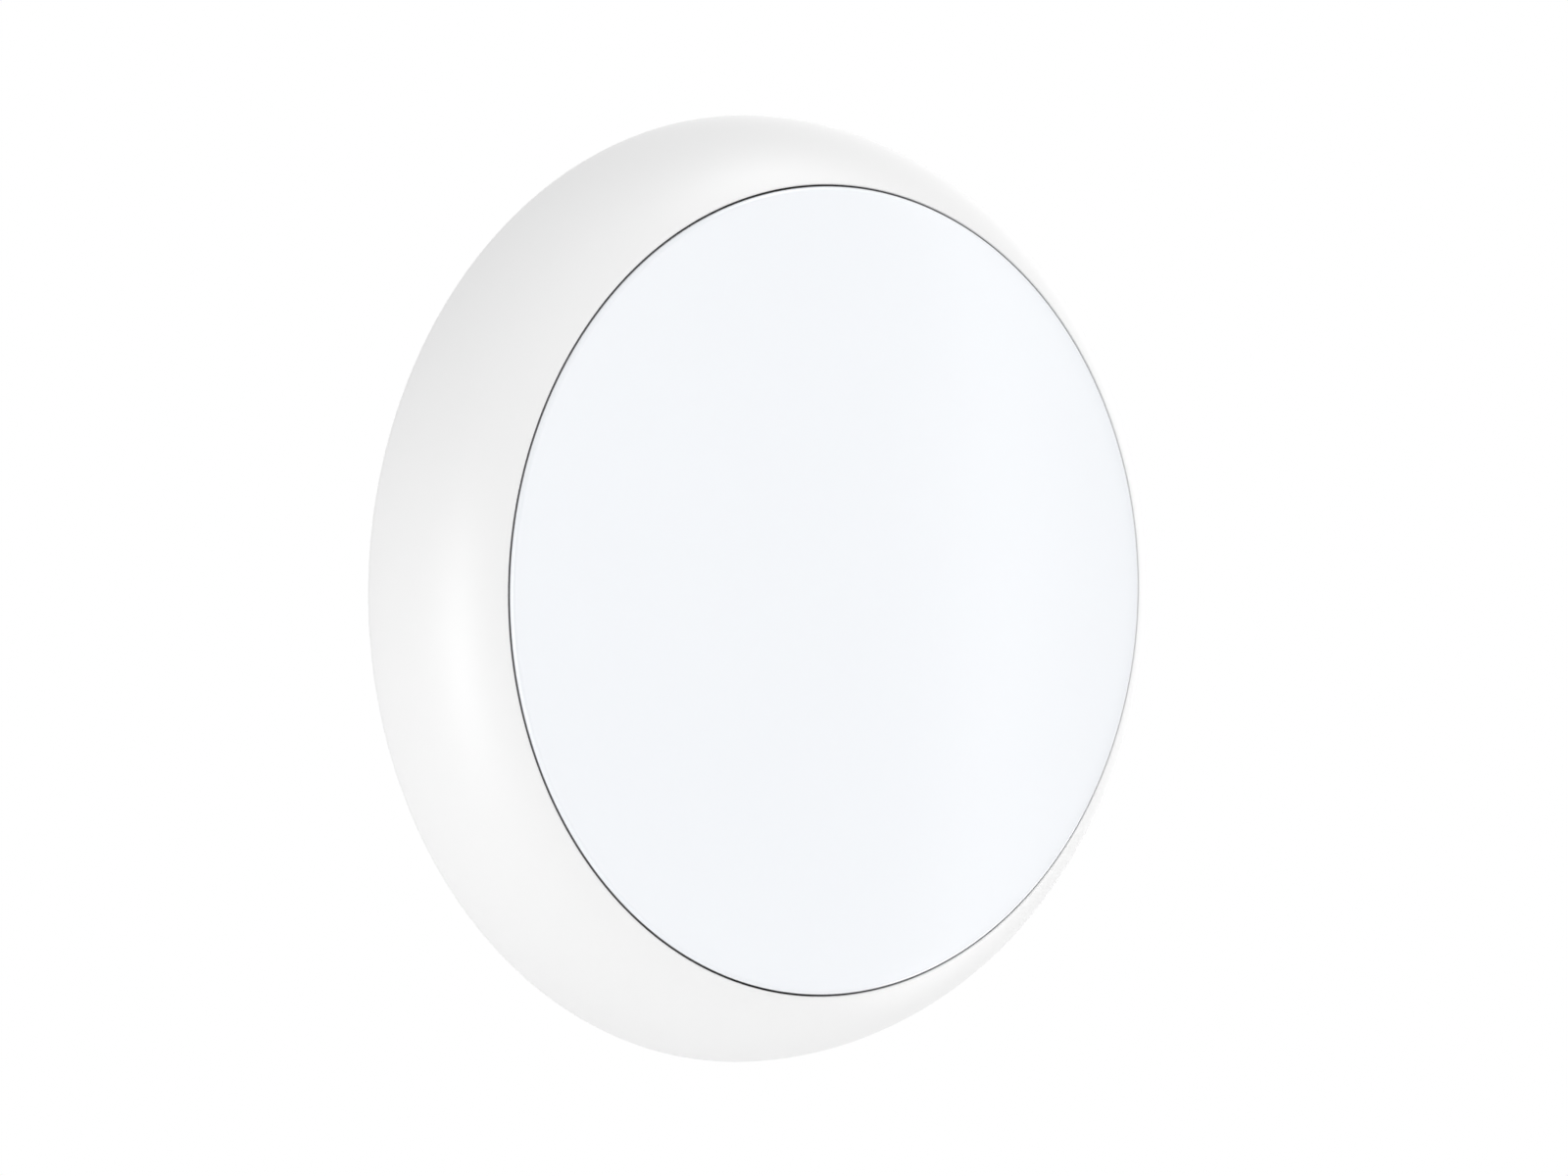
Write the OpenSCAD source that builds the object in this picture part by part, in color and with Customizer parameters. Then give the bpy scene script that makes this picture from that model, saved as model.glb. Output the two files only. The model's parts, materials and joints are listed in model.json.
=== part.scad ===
// Round wall thermostat. A control ring turns round a blank face that is pressed in, and the head that
// carries both pulls straight off a base on the wall.
// The modules are drawn with Z out of the wall and Y up, and on_wall() turns them so that Z is up and the
// face looks along -Y. The origin is the middle of the base's back face, on the wall.

/* [Outer form] */
// Widest diameter, across the control ring
ring_d = 84; // [80:0.5:96]
// Radius of the ring's side, in section
side_radius = 16.8; // [14:0.1:20]
// Radius of the ring's front shoulder, in section
shoulder_radius = 13.25; // [11:0.05:16]
// Angle between the axis and the ring's surface normal at the rim
side_angle = 86; // [82:1:89]
// The same angle where the side meets the shoulder
blend_angle = 64; // [58:1:70]
// The same angle where the shoulder meets the face
face_angle = 33; // [26:1:40]
// Radius of the rounded rear rim
rim_round = 0.9; // [0.4:0.1:1.4]
// Open seam between the ring and the face
seam_gap = 0.2; // [0.15:0.05:0.4]

/* [Control ring] */
// Wall of the ring's front shoulder
ring_wall = 1.8; // [1.2:0.1:2.2]
// Wall of the lip that faces the front cover
lip_wall = 1.1; // [0.8:0.1:1.4]
// Depth of that lip
lip_depth = 2.6; // [1.8:0.1:3]
// Wall between the ring's rim and the bore that takes the ring gear
rim_wall = 2.8; // [2.4:0.1:3.4]
// Running clearance between the ring and what it turns on
ring_clearance = 0.3; // [0.2:0.05:0.4]
// Stiffening ribs under the shoulder
shoulder_ribs = 24; // [12:1:36]
// Thickness of one stiffening rib
rib_wall = 0.8; // [0.6:0.1:1.2]
// Gap between the ribs and the ring gear
rib_rise = 1.2; // [0.8:0.1:2]

/* [Ring drive] */
// Module of the gear teeth
gear_module = 0.75; // [0.7:0.01:0.8]
// Distance from the ring's bore in to the pitch circle of the ring gear, which sets its teeth
gear_inset = 4.7; // [4.4:0.1:5.4]
// Teeth of the encoder's gear
pinion_teeth = 20; // [16:4:24]
// Pressure angle of the teeth
pressure_angle = 20; // [18:1:24]
// Play between the teeth
backlash = 0.16; // [0.1:0.02:0.24]
// Thickness of the ring gear
ring_gear_t = 1.6; // [1.2:0.1:2]
// Thickness of the encoder's gear
pinion_t = 1.4; // [1:0.1:1.8]
// Height of the encoder's case
encoder_t = 1.8; // [1.4:0.1:2.4]
// Width of the encoder's square case
encoder_w = 8.4; // [7:0.1:8.8]
// Radius of the encoder's shaft
encoder_shaft_r = 1.5; // [1:0.1:2]
// Running fit of the shaft, on the radius
shaft_fit = 0.05; // [0.03:0.01:0.1]

/* [Front cover] */
// Thickness of the cover at its edge
cover_t = 1.5; // [1.2:0.1:2]
// How far the face's middle stands out from its edge
face_dome = 1.2; // [0.6:0.1:2]
// How far the cover's edge stands proud of the ring
cover_proud = 0.2; // [0:0.05:0.4]
// Radius of the cover's edge
cover_edge = 0.4; // [0.2:0.05:0.6]
// Depth of the skirt under the cover's edge
cover_skirt = 0.5; // [0.3:0.1:0.5]
// Wall of that skirt
skirt_wall = 1.2; // [0.9:0.1:1.6]
// Travel of the cover when it is pressed
press_travel = 0.4; // [0.25:0.05:0.5]
// Radius of a guide post
post_r = 1.4; // [1.1:0.1:1.6]
// Wall of the sleeve that a post slides in
sleeve_wall = 0.8; // [0.6:0.1:1]
// How far a post's clip stands out from the post
clip_reach = 0.8; // [0.6:0.1:1]
// Thickness of a clip
clip_t = 0.4; // [0.3:0.05:0.5]
// Gap between a clip and the drum
clip_gap = 0.5; // [0.3:0.1:0.8]
// Sliding fit of a post in its sleeve, on the radius
post_fit = 0.1; // [0.05:0.01:0.15]

/* [Head] */
// Thickness of the rear cover
floor_t = 1.4; // [1.2:0.1:2]
// Gap between the drum and the tips of the ring gear's teeth
drum_gap = 0.6; // [0.4:0.1:1]
// Wall of the drum
drum_wall = 1.5; // [1.2:0.1:1.8]
// How far the ledge in the drum reaches in, between the rear cover and the main board
ledge_w = 1.5; // [1.2:0.1:1.8]
// How far the shoulder reaches out under the ring gear, past its teeth
shoulder_reach = 1; // [0.6:0.1:1.6]
// Thickness of the flange that closes the ring's back
flange_t = 1.2; // [1:0.1:1.6]
// Wall of the collar that slips over the base
collar_wall = 1.4; // [1.2:0.1:1.8]
// How far the collar reaches over the base
collar_depth = 3.2; // [2.4:0.1:4]
// Fit of the collar on the base, on the radius
collar_fit = 0.2; // [0.15:0.05:0.3]
// Gap between the base's tabs and the head
head_gap = 0.4; // [0.3:0.1:0.8]
// Thickness of the middle frame
frame_t = 1.2; // [1:0.1:1.6]
// Radius of the screw bosses
boss_r = 2.2; // [2:0.1:2.4]
// Radius of the small screws
screw_r = 0.9; // [0.7:0.05:1]
// How far the frame screws reach into their bosses
screw_grip = 3.2; // [2.4:0.1:4]
// Width of an air slot in the rear cover
vent_w = 1.4; // [1:0.1:1.8]
// Length of an air slot
vent_len = 7; // [5:0.5:8]

/* [Boards] */
// Thickness of every circuit board
board_t = 1; // [0.8:0.1:1.2]
// Clearance round parts that are placed by hand
fit = 0.15; // [0.1:0.05:0.2]
// Gap between the main board and the drum
main_board_gap = 0.7; // [0.4:0.1:1]
// Height of the pads under the main board
main_pad_h = 0.6; // [0.4:0.1:1]
// Gap between the display board and the sleeves round it
display_board_gap = 0.3; // [0.2:0.1:0.6]
// Width of the battery
battery_w = 34; // [30:0.5:36]
// Room left on the main board above the battery, and below it
battery_room = 18.7; // [18:0.1:20]
// Thickness of the battery
battery_t = 2.8; // [2:0.1:3]
// Distance from the display board's edge to the ends of the light module
module_inset = 11.6; // [11:0.1:13]
// Height of the light module on the wall
module_h = 14; // [12:0.5:15]
// Thickness of the light module
module_t = 0.9; // [0.7:0.1:1.1]
// Height of the light mask over the display board
mask_h = 1.5; // [1.3:0.1:1.8]
// Wall of the light mask's rim
mask_wall = 1.2; // [1:0.1:1.6]
// Width of a press switch
switch_w = 5.2; // [4.5:0.1:6]
// Height of a press switch's case
switch_h = 1.1; // [0.9:0.1:1.3]
// Radius of a press switch's plunger
plunger_r = 1.1; // [0.8:0.1:1.4]
// Distance from the display board's edge to the middle of a press switch
switch_inset = 5; // [4.6:0.1:5.4]
// Side of the processor
processor_w = 6.4; // [5:0.1:7]
// Side of the power supply's coil
coil_w = 5; // [4:0.1:5.5]
// Height of that coil
coil_t = 2; // [1.6:0.1:2.4]
// Length of a small chip
chip_len = 3.6; // [2.5:0.1:4]
// Width of a small chip
chip_w = 2.6; // [2:0.1:3]
// Height of a small chip
chip_h = 1; // [0.8:0.1:1.2]
// Width of the radio's shield
shield_w = 10.6; // [9:0.1:11]
// Height of the radio's shield on the wall
shield_h = 8; // [7:0.1:9]
// How far the radio's shield stands off the board
shield_t = 1.6; // [1.4:0.1:2]
// Radius of the buzzer
buzzer_r = 4; // [3:0.1:4.2]
// Thickness of the buzzer
buzzer_t = 2.2; // [1.8:0.1:2.6]
// Width of the connector between the boards
connector_w = 6; // [5:0.1:6.6]
// Distance from the main board's edge to the temperature sensor
sensor_edge = 2; // [1.6:0.1:2.6]
// Width of the charging port's shell, up the wall
port_w = 7.6; // [7:0.1:8]
// Height of that shell, across the wall
port_t = 2.8; // [2.4:0.1:3]
// Depth of that shell, into the head
port_len = 5; // [4.4:0.1:5.2]
// Wall of that shell
port_wall = 0.3; // [0.2:0.05:0.4]
// Distance from the main board's edge to the charging port
port_edge = 5.2; // [5:0.1:6]
// Depth of the recess that a charging plug's case sinks into
port_recess = 0.5; // [0.3:0.1:0.7]
// Gap between neighbouring parts on a board
part_gap = 1.4; // [1:0.1:2]

/* [Wall base] */
// How far the base reaches out past the bore of the head's drum
base_reach = 1.125; // [1:0.025:1.3]
// Thickness of the base's floor
plate_t = 2.2; // [1.8:0.1:2.8]
// Wall of the base's skirt
plate_wall = 1.6; // [1.4:0.1:2]
// Depth of the pockets in the base's back
back_pocket = 0.8; // [0.4:0.1:1]
// Radius of the opening for the wires
wire_opening_r = 11; // [9:0.5:11]
// Distance from the base's edge to a wall screw
wall_screw_edge = 8; // [7.5:0.1:9]
// Width of a wall screw's slot
slot_w = 4.4; // [3.6:0.1:4.6]
// Length of a wall screw's slot
slot_len = 7; // [5.5:0.5:7.5]
// Wall round a wall screw's slot
slot_wall = 1.2; // [0.9:0.1:1.4]
// Room round a slot for the screw's head, on each side
head_room = 2.3; // [2:0.1:2.6]
// Distance from the inside of the base's skirt to a screw of the base cover
cover_screw_inset = 5.9; // [5.5:0.1:6.5]
// Height of the base board over the floor
board_lift = 1.2; // [1:0.1:1.8]
// Thickness of the base cover
base_cover_t = 1; // [0.8:0.1:1.4]
// Height of the base cover over the base board
base_cover_lift = 1.8; // [1.6:0.1:2.2]
// Height of the sockets and terminals' cases over the base board
terminal_h = 4.2; // [3.8:0.1:5]
// Width of a terminal block, from the wires outwards
terminal_w = 10.6; // [10:0.1:11]
// Length of a terminal block, up the wall
terminal_len = 20.4; // [19.5:0.1:21]
// Distance from the wires' opening to a terminal block
terminal_gap = 2.6; // [2:0.1:3]
// Distance between neighbouring terminals
terminal_pitch = 6.6; // [6.2:0.1:6.8]
// Width of a wire tab
tab_w = 4.2; // [3.6:0.1:4.6]
// How far a wire tab stands proud
tab_proud = 0.6; // [0.4:0.1:1]
// Travel of a wire tab
tab_travel = 0.9; // [0.6:0.1:1.1]
// Side of a wire entry
wire_w = 2.2; // [1.8:0.1:2.4]
// Distance from the wires' opening to the level vial
vial_gap = 2.5; // [2:0.1:3]
// Outer radius of the level vial
vial_r = 2; // [1.7:0.1:2.1]
// Wall of the level vial
vial_wall = 0.4; // [0.3:0.1:0.6]
// Length of the level vial
vial_len = 15; // [13:0.5:16]
// Width of the socket that joins the head to the base
socket_w = 19; // [18:0.5:20]
// Depth of that socket, up the wall
socket_h = 5; // [4.6:0.1:5.2]
// Contacts in the socket
contacts = 8; // [4:1:8]
// Distance between neighbouring contacts
contact_pitch = 2; // [1.8:0.05:2.1]
// Side of a contact pin
pin_w = 0.6; // [0.5:0.05:0.7]
// Width of a relay chip in the base
relay_w = 5; // [4:0.1:6]
// Height of a relay chip on the wall
relay_h = 4; // [3:0.1:4.4]
// Thickness of a relay chip
relay_t = 1.5; // [1:0.1:1.7]
// Distance from the inside of the base's skirt to a relay chip's lower edge, on the wall
relay_edge = 4.8; // [4.5:0.1:6]

/* [Hidden] */
$fn = 96;
fine = 180;

// Section of the ring's outside: two arcs that meet in a common tangent
ring_r = ring_d / 2;
crown_w = side_radius * (sin(side_angle) - sin(blend_angle))
        + shoulder_radius * (sin(blend_angle) - sin(face_angle));
crown_h = side_radius * (cos(blend_angle) - cos(side_angle))
        + shoulder_radius * (cos(face_angle) - cos(blend_angle));
seam_r = ring_r - crown_w;
lip_r = seam_r + seam_gap / 2;
cover_r = seam_r - seam_gap / 2;
ring_bore_r = ring_r - rim_wall;

// Gear train; the teeth come in fours, so that a space faces the pinion
ring_teeth = 4 * round((ring_bore_r - gear_inset) / gear_module / 2);
ring_pitch_r = gear_module * ring_teeth / 2;
pinion_pitch_r = gear_module * pinion_teeth / 2;
pinion_y = -(ring_pitch_r - pinion_pitch_r);
pinion_tip_r = pinion_pitch_r + 0.8 * gear_module;
pinion_root_r = pinion_pitch_r - 1.2 * gear_module;
ring_tip_r = ring_pitch_r - 0.7 * gear_module;
ring_root_r = ring_pitch_r + 1.2 * gear_module;

// Radii of the head, from the drum inwards and outwards
drum_r = ring_tip_r - drum_gap;
drum_bore_r = drum_r - drum_wall;
ledge_r = drum_bore_r - ledge_w;
shoulder_r = ring_root_r + shoulder_reach;
flange_r = ring_bore_r - ring_clearance;
frame_r = lip_r - 0.6;
main_board_r = drum_bore_r - main_board_gap;
boss_circle_r = drum_bore_r - boss_r - 0.075;
clip_r = post_r + clip_reach;
post_circle_r = drum_bore_r - clip_r - clip_gap;
sleeve_r = post_r + post_fit + sleeve_wall;
display_board_r = post_circle_r - sleeve_r - display_board_gap;
display_screw_circle_r = display_board_r - 2.2;
switch_circle_r = display_board_r - switch_inset;
module_w = 2 * (display_board_r - module_inset);

// Radii of the base
base_r = drum_bore_r + base_reach;
base_inner_r = base_r - plate_wall;
collar_r = base_r + collar_fit;
cover_screw_circle_r = base_inner_r - cover_screw_inset;
terminal_x = wire_opening_r + terminal_gap;
screw_spacing = 2 * (base_r - wall_screw_edge);

// Small gaps and steps between stacked pieces
pinion_lift = 0.2;
battery_gap = 0.4;
cover_gap = 0.3;
flange_inset = 0.2;
plate_rise = 0.6;
lap = 0.1;

// Levels over the wall, from the back to the front
base_board_z = plate_t + board_lift;
base_board_top = base_board_z + board_t;
base_cover_z = base_board_top + base_cover_lift;
base_cover_top = base_cover_z + base_cover_t;
plate_top = base_cover_top + plate_rise;
terminal_top = base_board_top + terminal_h;
tab_top = terminal_top + tab_proud;
floor_z = tab_top + head_gap;
floor_top = floor_z + floor_t;
main_board_z = floor_top + main_pad_h;
main_board_top = main_board_z + board_t;
pinion_z = main_board_top + encoder_t + pinion_lift;
ring_gear_z = pinion_z - (ring_gear_t - pinion_t) / 2;
ring_gear_top = ring_gear_z + ring_gear_t;
frame_z = max(ring_gear_top + ring_clearance, main_board_top + battery_t + battery_gap);
frame_top = frame_z + frame_t;
display_board_top = frame_top + board_t;
mask_top = display_board_top + mask_h;
plunger_z = display_board_top + press_travel + 0.2;
plunger_top = display_board_top + switch_h + press_travel + lap;
cover_z = mask_top + press_travel + cover_gap;
cover_rim_z = cover_z + cover_t;
seam_z = cover_rim_z - cover_proud;
rim_z = seam_z - crown_h;
shoulder_z = ring_gear_z - ring_clearance;
clip_z = frame_z - lap - clip_t;
post_foot_z = clip_z - 2 * clip_t;

// Rear rim of the ring and the collar inside it
rim_centre = [ring_r - rim_round * sin(side_angle), rim_z - rim_round * cos(side_angle)];
ring_back_z = rim_centre[1] - rim_round;
flange_z = ring_back_z + flange_inset;
collar_z = plate_top - collar_depth;

// Angles at which the bosses, posts, switches and screws stand
boss_angles = [45, 135, 225, 315];
post_angles = [90, 210, 330];
switch_angles = [30, 150, 270];
display_screw_angles = [60, 180, 300];
cover_screw_angles = [43, 137, 223, 317];
finger_angles = [60, 180, 300];
terminal_rows = [-1, 0, 1];

module on_wall() rotate([90, 0, 0]) children();

module tube(r_out, r_in, h) difference() {
    cylinder(r = r_out, h = h);
    translate([0, 0, -1]) cylinder(r = r_in, h = h + 2);
}

module at_angles(angles, r) for (a = angles) rotate([0, 0, a]) translate([r, 0, 0]) children();

// Box that stands on z = 0, centred on the axis
module block(w, l, h) translate([-w / 2, -l / 2, 0]) cube([w, l, h]);

// Box with rounded upright edges, made of crossed boxes and four corner rounds
module round_block(w, l, h, r) {
    block(w - 2 * r, l, h);
    block(w, l - 2 * r, h);
    for (x = [-1, 1], y = [-1, 1]) translate([x * (w / 2 - r), y * (l / 2 - r), 0]) cylinder(r = r, h = h);
}

// Slot with round ends, along Y
module slot(w, l, h) {
    block(w, l - w, h);
    for (y = [-1, 1]) translate([0, y * (l - w) / 2, 0]) cylinder(r = w / 2, h = h);
}

// Pan head screw whose head rests on z = 0
module pan_screw(r, l, head_r, head_h) difference() {
    union() {
        translate([0, 0, -l]) cylinder(r = r, h = l);
        cylinder(r = head_r, h = head_h * 0.6);
        translate([0, 0, head_h * 0.6]) cylinder(r1 = head_r, r2 = head_r * 0.7, h = head_h * 0.4);
    }
    for (a = [0, 90]) rotate([0, 0, a])
        translate([0, 0, head_h * 0.4]) block(head_r * 1.2, head_r * 0.28, head_h);
}

// Involute teeth: half the angle of a tooth at radius r, on a gear of pitch radius pitch_r
function involute(a) = tan(a) * 180 / PI - a;
function base_circle(pitch_r) = pitch_r * cos(pressure_angle);
function half_tooth(r, pitch_r, teeth) =
    90 / teeth + involute(pressure_angle) - involute(acos(min(1, base_circle(pitch_r) / r)));
function play_angle(r) = backlash / 4 / r * 180 / PI;
function polar(r, a) = [r * cos(a), r * sin(a)];
function radii(from, to, steps) = [for (i = [0 : steps]) from + (to - from) * i / steps];

module pinion_outline() {
    flank = radii(max(base_circle(pinion_pitch_r), pinion_root_r), pinion_tip_r, 4);
    half = [for (r = flank) half_tooth(r, pinion_pitch_r, pinion_teeth) - play_angle(r)];
    last = len(flank) - 1;
    polygon([for (t = [0 : pinion_teeth - 1]) let (a = t * 360 / pinion_teeth) each concat(
        [polar(pinion_root_r, a - half[0])],
        [for (i = [0 : last]) polar(flank[i], a - half[i])],
        [for (i = [0 : last]) polar(flank[last - i], a + half[last - i])],
        [polar(pinion_root_r, a + half[0])])]);
}

// The spaces between the ring gear's teeth, with the hole inside them
module ring_gear_hole() {
    flank = radii(ring_tip_r, ring_root_r, 3);
    half = [for (r = flank) half_tooth(r, ring_pitch_r, ring_teeth) + play_angle(r)];
    last = len(flank) - 1;
    polygon([for (t = [0 : ring_teeth - 1]) let (a = t * 360 / ring_teeth) each concat(
        [for (i = [0 : last]) polar(flank[i], a - half[i])],
        [for (i = [0 : last]) polar(flank[last - i], a + half[last - i])])]);
}

// ---- Wall base ----

// Edge breaks, pads and ribs of the base
edge_break = 0.5;
cover_screw_r = 0.9;
cover_boss_r = 2.4;
pocket_rim = 4;
pocket_rib = 1.4;
opening_rim = 1.2;
finger_w = 8.2;
finger_slit = 0.8;
ledge_block = 1.8;

module at_wall_screws() for (y = [-1, 1]) translate([0, y * screw_spacing / 2, 0]) children();

module at_cover_screws() at_angles(cover_screw_angles, cover_screw_circle_r) children();

// Room for the heads of the wall screws
module screw_wells(h) at_wall_screws() slot(slot_w + 2 * head_room, slot_len + 2 * head_room, h);

// The same shape on the left side as on the right
module on_side(side) if (side > 0) children(); else mirror([1, 0, 0]) children();

module at_terminals() for (side = [-1, 1], row = terminal_rows)
    on_side(side) translate([terminal_x, row * terminal_pitch, 0]) children();

module back_pockets() difference() {
    translate([0, 0, -1]) tube(base_r - pocket_rim, wire_opening_r + 2 * opening_rim, back_pocket + 1);
    for (a = [0 : 30 : 150]) rotate([0, 0, a])
        translate([0, 0, -2]) block(2 * base_r, pocket_rib, back_pocket + 3);
    translate([0, 0, -2]) screw_wells(back_pocket + 3);
    at_cover_screws() translate([0, 0, -2]) cylinder(r = cover_boss_r + 0.8, h = back_pocket + 3);
}

module plate_section() polygon([
    [0, 0], [base_r - edge_break, 0], [base_r, edge_break], [base_r, plate_top - edge_break],
    [base_r - edge_break, plate_top], [base_inner_r, plate_top], [base_inner_r, plate_t], [0, plate_t]]);

module wall_plate() on_wall() color("gainsboro") difference() {
    union() {
        rotate_extrude() plate_section();
        translate([0, 0, plate_t]) at_wall_screws()
            slot(slot_w + 2 * slot_wall, slot_len + 2 * slot_wall, board_lift - 0.2);
        translate([0, 0, plate_t]) at_cover_screws() cylinder(r = cover_boss_r, h = board_lift);
        translate([0, 0, plate_t]) tube(wire_opening_r + opening_rim, wire_opening_r, board_lift - 0.2);
        translate([0, 0, plate_t]) at_angles([0 : 90 : 270], base_inner_r - ledge_block / 2 + lap)
            block(ledge_block, 3, board_lift);
    }
    translate([0, 0, -1]) cylinder(r = wire_opening_r, h = plate_t + board_lift + 2);
    translate([0, 0, -1]) at_wall_screws() slot(slot_w, slot_len, plate_t + board_lift + 2);
    at_cover_screws() translate([0, 0, back_pocket + 0.4])
        cylinder(r = cover_screw_r, h = plate_t + board_lift);
    back_pockets();
    // Slits that free three spring fingers in the skirt
    at_angles(finger_angles, base_inner_r + plate_wall / 2) for (y = [-1, 1])
        translate([0, y * (finger_w + finger_slit) / 2, plate_t + 0.6])
            block(plate_wall + 2, finger_slit, plate_top);
}

module base_circuit_board() on_wall() color("darkgreen") translate([0, 0, base_board_z]) difference() {
    cylinder(r = base_inner_r - 2 * fit, h = board_t);
    translate([0, 0, -1]) cylinder(r = wire_opening_r + opening_rim + 0.4, h = board_t + 2);
    translate([0, 0, -1]) screw_wells(board_t + 2);
    at_cover_screws() translate([0, 0, -1]) cylinder(r = cover_screw_r + fit, h = board_t + 2);
}

// Places inside a terminal: the wire's sill and the pocket that a wire tab moves in
wire_sill = 0.7;
tab_fit = 0.15;
tab_x = terminal_w / 2 + 0.4;
tab_len = terminal_w / 2 - 1.5;
tab_foot_z = base_board_top + wire_sill + tab_travel + 0.2;
tab_body_z = tab_foot_z + tab_travel + 0.2;
clamp_t = 0.25;
clamp_x = 1.4;

// One case for a column of spring terminals, with the wires coming in from the axis
module terminal_block(side) on_wall() color("whitesmoke") on_side(side) difference() {
    translate([terminal_x, -terminal_len / 2, base_board_top]) cube([terminal_w, terminal_len, terminal_h]);
    for (row = terminal_rows) translate([0, row * terminal_pitch, base_board_top]) {
        translate([terminal_x - 1, -wire_w / 2, wire_sill]) cube([tab_x + 1, wire_w, wire_w]);
        translate([terminal_x + tab_x - tab_fit, -tab_w / 2 - tab_fit, wire_sill])
            cube([tab_len + 2 * tab_fit, tab_w + 2 * tab_fit, terminal_h]);
        translate([terminal_x - 0.01, 0, wire_sill + wire_w / 2]) rotate([0, 90, 0])
            cylinder(r1 = wire_w * 0.72, r2 = wire_w * 0.42, h = 1);
    }
}

module terminal_block_left() terminal_block(-1);
module terminal_block_right() terminal_block(1);

// Sprung brass tongue under each wire
module terminal_clamps() on_wall() color("goldenrod") at_terminals()
    translate([clamp_x, 0.2 - wire_w / 2, base_board_top + wire_sill]) {
        cube([terminal_w / 2 - clamp_x, wire_w - 0.4, clamp_t]);
        translate([terminal_w / 2 - clamp_x - clamp_t, 0, 0]) cube([clamp_t, wire_w - 0.4, 4 * clamp_t]);
    }

// Tab that is pushed in to let a wire go; numbered down the left side and then down the right
module wire_tab(n) on_wall() color("darkorange") on_side(n > 3 ? 1 : -1)
    translate([terminal_x + tab_x, (1 - (n - 1) % 3) * terminal_pitch, 0]) difference() {
        union() {
            translate([0, -tab_w / 2, tab_body_z]) cube([tab_len, tab_w, tab_top - tab_body_z]);
            translate([0.2, -tab_w / 4, tab_foot_z]) cube([tab_len / 2, tab_w / 2, tab_travel + 1]);
        }
        translate([tab_len / 2, 0, tab_top + tab_w * 0.6]) rotate([90, 0, 0])
            translate([0, 0, -tab_w]) cylinder(r = tab_w * 0.7, h = 2 * tab_w);
    }

module wire_tab_1() wire_tab(1);
module wire_tab_2() wire_tab(2);
module wire_tab_3() wire_tab(3);
module wire_tab_4() wire_tab(4);
module wire_tab_5() wire_tab(5);
module wire_tab_6() wire_tab(6);

module relay_chips() on_wall() color("#26282b") translate([0, 0, base_board_top]) for (x = [-1, 1])
    translate([x * (slot_w / 2 + head_room + relay_w / 2 + 0.6), 0, 0])
        translate([0, relay_h / 2 + relay_edge - base_inner_r, 0]) block(relay_w, relay_h, relay_t);

// Socket that the head plugs into, below the wires' opening
socket_y = -(wire_opening_r + 1.9 + socket_h / 2);
socket_top = base_cover_top;
socket_wall = 0.6;
contact_w = 1.7;
contact_t = 0.25;
contact_h = 1.6;

module at_contacts() for (i = [0 : contacts - 1])
    translate([(i - (contacts - 1) / 2) * contact_pitch, 0, 0]) children();

module base_socket() on_wall() color("#303236") translate([0, socket_y, 0]) difference() {
    translate([0, 0, base_board_top]) block(socket_w, socket_h, socket_top - base_board_top);
    at_contacts() translate([0, 0, base_board_top + 0.5]) block(pin_w + 0.4, contact_w, socket_top);
    translate([0, 0, socket_top - 0.5]) block(socket_w - 2 * socket_wall, socket_h - 1.6, 1);
}

module socket_contacts() on_wall() color("gold") translate([0, socket_y, base_board_top + 0.5])
    at_contacts() translate([0, (contact_w - contact_t) / 2, 0]) block(pin_w, contact_t, contact_h);

vial_y = wire_opening_r + vial_gap + vial_r;
vial_z = base_board_top + vial_r;
vial_bore_r = vial_r - vial_wall;
vial_cap_t = 0.8;
module along_vial() translate([0, vial_y, vial_z]) rotate([0, 90, 0]) children();

module level_vial() on_wall() color("#dfeff0", 0.6) along_vial()
    translate([0, 0, -vial_len / 2]) tube(vial_r, vial_bore_r, vial_len);

module vial_caps() on_wall() color("white") along_vial() for (side = [0, 180]) rotate([side, 0, 0])
    translate([0, 0, vial_len / 2 - vial_cap_t]) cylinder(r = vial_bore_r - 0.02, h = vial_cap_t);

module vial_liquid() on_wall() color("yellowgreen") difference() {
    along_vial() translate([0, 0, vial_cap_t - vial_len / 2])
        cylinder(r = vial_bore_r - 0.02, h = vial_len - 2 * vial_cap_t);
    translate([0, vial_y + 0.3, vial_z + 0.5]) sphere(r = vial_bore_r * 0.75);
}

module base_cover() on_wall() color("white") difference() {
    union() {
        translate([0, 0, base_cover_z]) cylinder(r = base_inner_r - 2 * fit, h = base_cover_t);
        translate([0, 0, base_board_top]) at_cover_screws()
            cylinder(r = cover_boss_r - 0.2, h = base_cover_lift + lap);
        translate([0, 0, base_cover_z - 0.8]) tube(wire_opening_r + 3.2, wire_opening_r + 2.2, 0.8 + lap);
    }
    translate([0, 0, base_board_top - 1]) {
        cylinder(r = wire_opening_r + 2.2, h = terminal_h);
        screw_wells(terminal_h);
        at_cover_screws() cylinder(r = cover_screw_r + fit, h = terminal_h);
        for (x = [-1, 1]) translate([x * (terminal_x + terminal_w / 2 - 1), 0, 0])
            block(terminal_w + 2 + 2 * fit, terminal_len + 2 * fit, terminal_h);
        translate([0, socket_y, 0]) block(socket_w + 2 * fit, socket_h + 2 * fit, terminal_h);
    }
    translate([0, vial_y, base_cover_z - 1])
        block(vial_len + 4 * fit, 2 * (vial_r + fit), base_cover_t + 2);
}

module base_cover_screws() on_wall() color("silver") translate([0, 0, base_cover_top]) at_cover_screws()
    pan_screw(cover_screw_r, base_cover_top - back_pocket - 0.6, 1.9 * cover_screw_r, 1);

// ---- Head ----

module pinion_axis() translate([0, pinion_y, 0]) children();

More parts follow.
